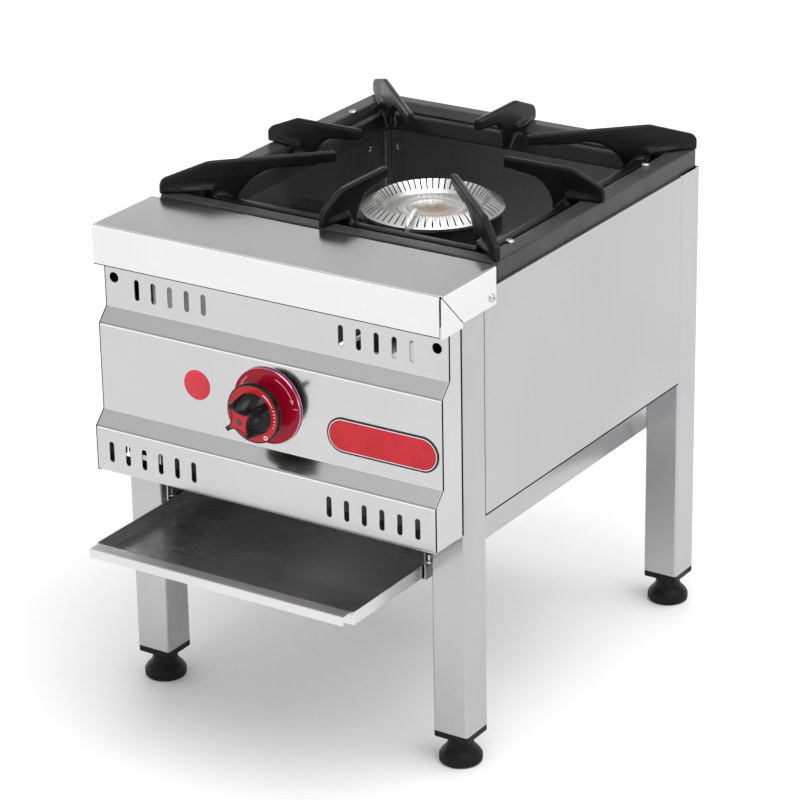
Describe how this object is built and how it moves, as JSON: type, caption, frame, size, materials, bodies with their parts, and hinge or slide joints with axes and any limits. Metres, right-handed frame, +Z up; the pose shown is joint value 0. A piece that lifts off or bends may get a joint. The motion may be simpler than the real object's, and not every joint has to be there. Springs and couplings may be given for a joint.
{
  "type": "stock pot range",
  "caption": "Free-standing gas range with a large ring burner under a cast pan support, a stepped control panel with a push-and-turn knob, and a pull-out drip tray.",
  "frame": {"origin": "middle of the range's overall box, on the floor under its feet", "axes": "+X to the right seen from the control panel, +Y from the panel to the back, +Z up"},
  "size_m": [0.4184, 0.6378, 0.5541],
  "materials": {
    "stainless": "fine brushed stainless steel",
    "stainless_panel": "bright satin stainless steel",
    "black_enamel": "satin black enamel",
    "cast_black": "black enamelled casting",
    "burner_cast": "dark cast iron",
    "burner_crown": "bright machined aluminium",
    "dish_steel": "heat-tinted steel",
    "tray_steel": "mirror-bright steel",
    "black_plastic": "black moulded plastic",
    "red_plastic": "glossy red",
    "grey_plastic": "grey plastic",
    "red_sign": "crimson enamel sign",
    "bright_rim": "bright rim",
    "zinc": "zinc plated steel",
    "brass": "machined brass",
    "gas_pipe": "aluminium tube",
    "probe_steel": "light steel probe and tube",
    "label_film": "plain red film label"
  },
  "bodies": {
    "frame": {"leg_front_left": "stainless", "leg_cap_front_left": "black_plastic", "leg_front_right": "stainless", "leg_cap_front_right": "black_plastic", "leg_rear_left": "stainless", "leg_cap_rear_left": "black_plastic", "leg_rear_right": "stainless", "leg_cap_rear_right": "black_plastic", "hob_plate": "black_enamel", "apron": "stainless_panel", "control_panel": "stainless_panel", "rear_panel": "stainless", "side_panel_left": "stainless", "side_panel_right": "stainless", "tray_runner_left": "stainless", "tray_runner_right": "stainless", "burner_rail_front": "zinc", "burner_rail_rear": "zinc", "front_rail": "zinc", "hob_screws": "zinc", "apron_screws": "zinc", "panel_screws": "zinc", "runner_screws": "zinc", "burner_bolts": "zinc", "burner_bowl": "burner_cast", "burner_crown": "burner_crown", "burner_dish": "dish_steel", "mixing_tube": "burner_cast", "injector_holder": "brass", "injector": "brass", "gas_inlet": "brass", "supply_pipe": "gas_pipe", "gas_valve": "brass", "valve_nuts": "brass", "valve_spring": "zinc", "feed_pipe": "gas_pipe", "pipe_nuts": "brass", "thermocouple": "probe_steel", "thermocouple_clip": "zinc", "dial_plate": "red_sign", "dial_rim": "bright_rim", "badge_plate": "red_sign", "round_label": "label_film"},
    "plunger": {"valve_plunger": "brass"},
    "knob": {"knob": "black_plastic", "knob_ring": "red_plastic", "knob_star": "red_plastic", "knob_button": "grey_plastic", "valve_stem": "brass"},
    "drip_tray": {"drip_tray": "tray_steel"},
    "pan_support": {"pan_support": "cast_black"},
    "air_shutter": {"air_shutter": "zinc"},
    "foot_stud_front_left": {"foot_stud_front_left": "zinc"},
    "foot_base_front_left": {"foot_base_front_left": "black_plastic"},
    "foot_stud_front_right": {"foot_stud_front_right": "zinc"},
    "foot_base_front_right": {"foot_base_front_right": "black_plastic"},
    "foot_stud_rear_left": {"foot_stud_rear_left": "zinc"},
    "foot_base_rear_left": {"foot_base_rear_left": "black_plastic"},
    "foot_stud_rear_right": {"foot_stud_rear_right": "zinc"},
    "foot_base_rear_right": {"foot_base_rear_right": "black_plastic"}
  },
  "joints": [
    {"name": "knob_push", "type": "slide", "parent": "frame", "child": "plunger", "axis": [0, 1, 0], "range_m": [0, 0.004], "stiffness_N_per_m": 1500, "springref_m": -0.004, "deforming": ["valve_spring"]},
    {"name": "knob_turn", "type": "hinge", "parent": "plunger", "child": "knob", "pos_m": [0.0025, -0.22, 0.3706], "axis": [0, -1, 0], "range_deg": [0, 210]},
    {"name": "tray_slide", "type": "slide", "parent": "frame", "child": "drip_tray", "axis": [0, 1, 0], "range_m": [-0.2, 0.121]},
    {"name": "pan_support_lift", "type": "slide", "parent": "frame", "child": "pan_support", "axis": [0, 0, 1], "range_m": [0, 0.15]},
    {"name": "air_shutter_turn", "type": "hinge", "parent": "frame", "child": "air_shutter", "pos_m": [0, -0.0534, 0.3706], "axis": [0, -1, 0], "range_deg": [-45, 45]},
    {"name": "foot_lift_front_left", "type": "slide", "parent": "frame", "child": "foot_stud_front_left", "axis": [0, 0, -1], "range_m": [0, 0.0225]},
    {"name": "foot_turn_front_left", "type": "hinge", "parent": "foot_stud_front_left", "child": "foot_base_front_left", "pos_m": [-0.1855, -0.1617, 0], "axis": [0, 0, -1], "range_deg": [0, 5400]},
    {"name": "foot_lift_front_right", "type": "slide", "parent": "frame", "child": "foot_stud_front_right", "axis": [0, 0, -1], "range_m": [0, 0.0225]},
    {"name": "foot_turn_front_right", "type": "hinge", "parent": "foot_stud_front_right", "child": "foot_base_front_right", "pos_m": [0.1855, -0.1617, 0], "axis": [0, 0, -1], "range_deg": [0, 5400]},
    {"name": "foot_lift_rear_left", "type": "slide", "parent": "frame", "child": "foot_stud_rear_left", "axis": [0, 0, -1], "range_m": [0, 0.0225]},
    {"name": "foot_turn_rear_left", "type": "hinge", "parent": "foot_stud_rear_left", "child": "foot_base_rear_left", "pos_m": [-0.1855, 0.2749, 0], "axis": [0, 0, -1], "range_deg": [0, 5400]},
    {"name": "foot_lift_rear_right", "type": "slide", "parent": "frame", "child": "foot_stud_rear_right", "axis": [0, 0, -1], "range_m": [0, 0.0225]},
    {"name": "foot_turn_rear_right", "type": "hinge", "parent": "foot_stud_rear_right", "child": "foot_base_rear_right", "pos_m": [0.1855, 0.2749, 0], "axis": [0, 0, -1], "range_deg": [0, 5400]}
  ],
  "couplings": [
    {"joint": "foot_turn_front_left", "follows": "foot_lift_front_left", "rad_per_m": 4188.8},
    {"joint": "foot_turn_front_right", "follows": "foot_lift_front_right", "rad_per_m": 4188.8},
    {"joint": "foot_turn_rear_left", "follows": "foot_lift_rear_left", "rad_per_m": 4188.8},
    {"joint": "foot_turn_rear_right", "follows": "foot_lift_rear_right", "rad_per_m": 4188.8}
  ]
}
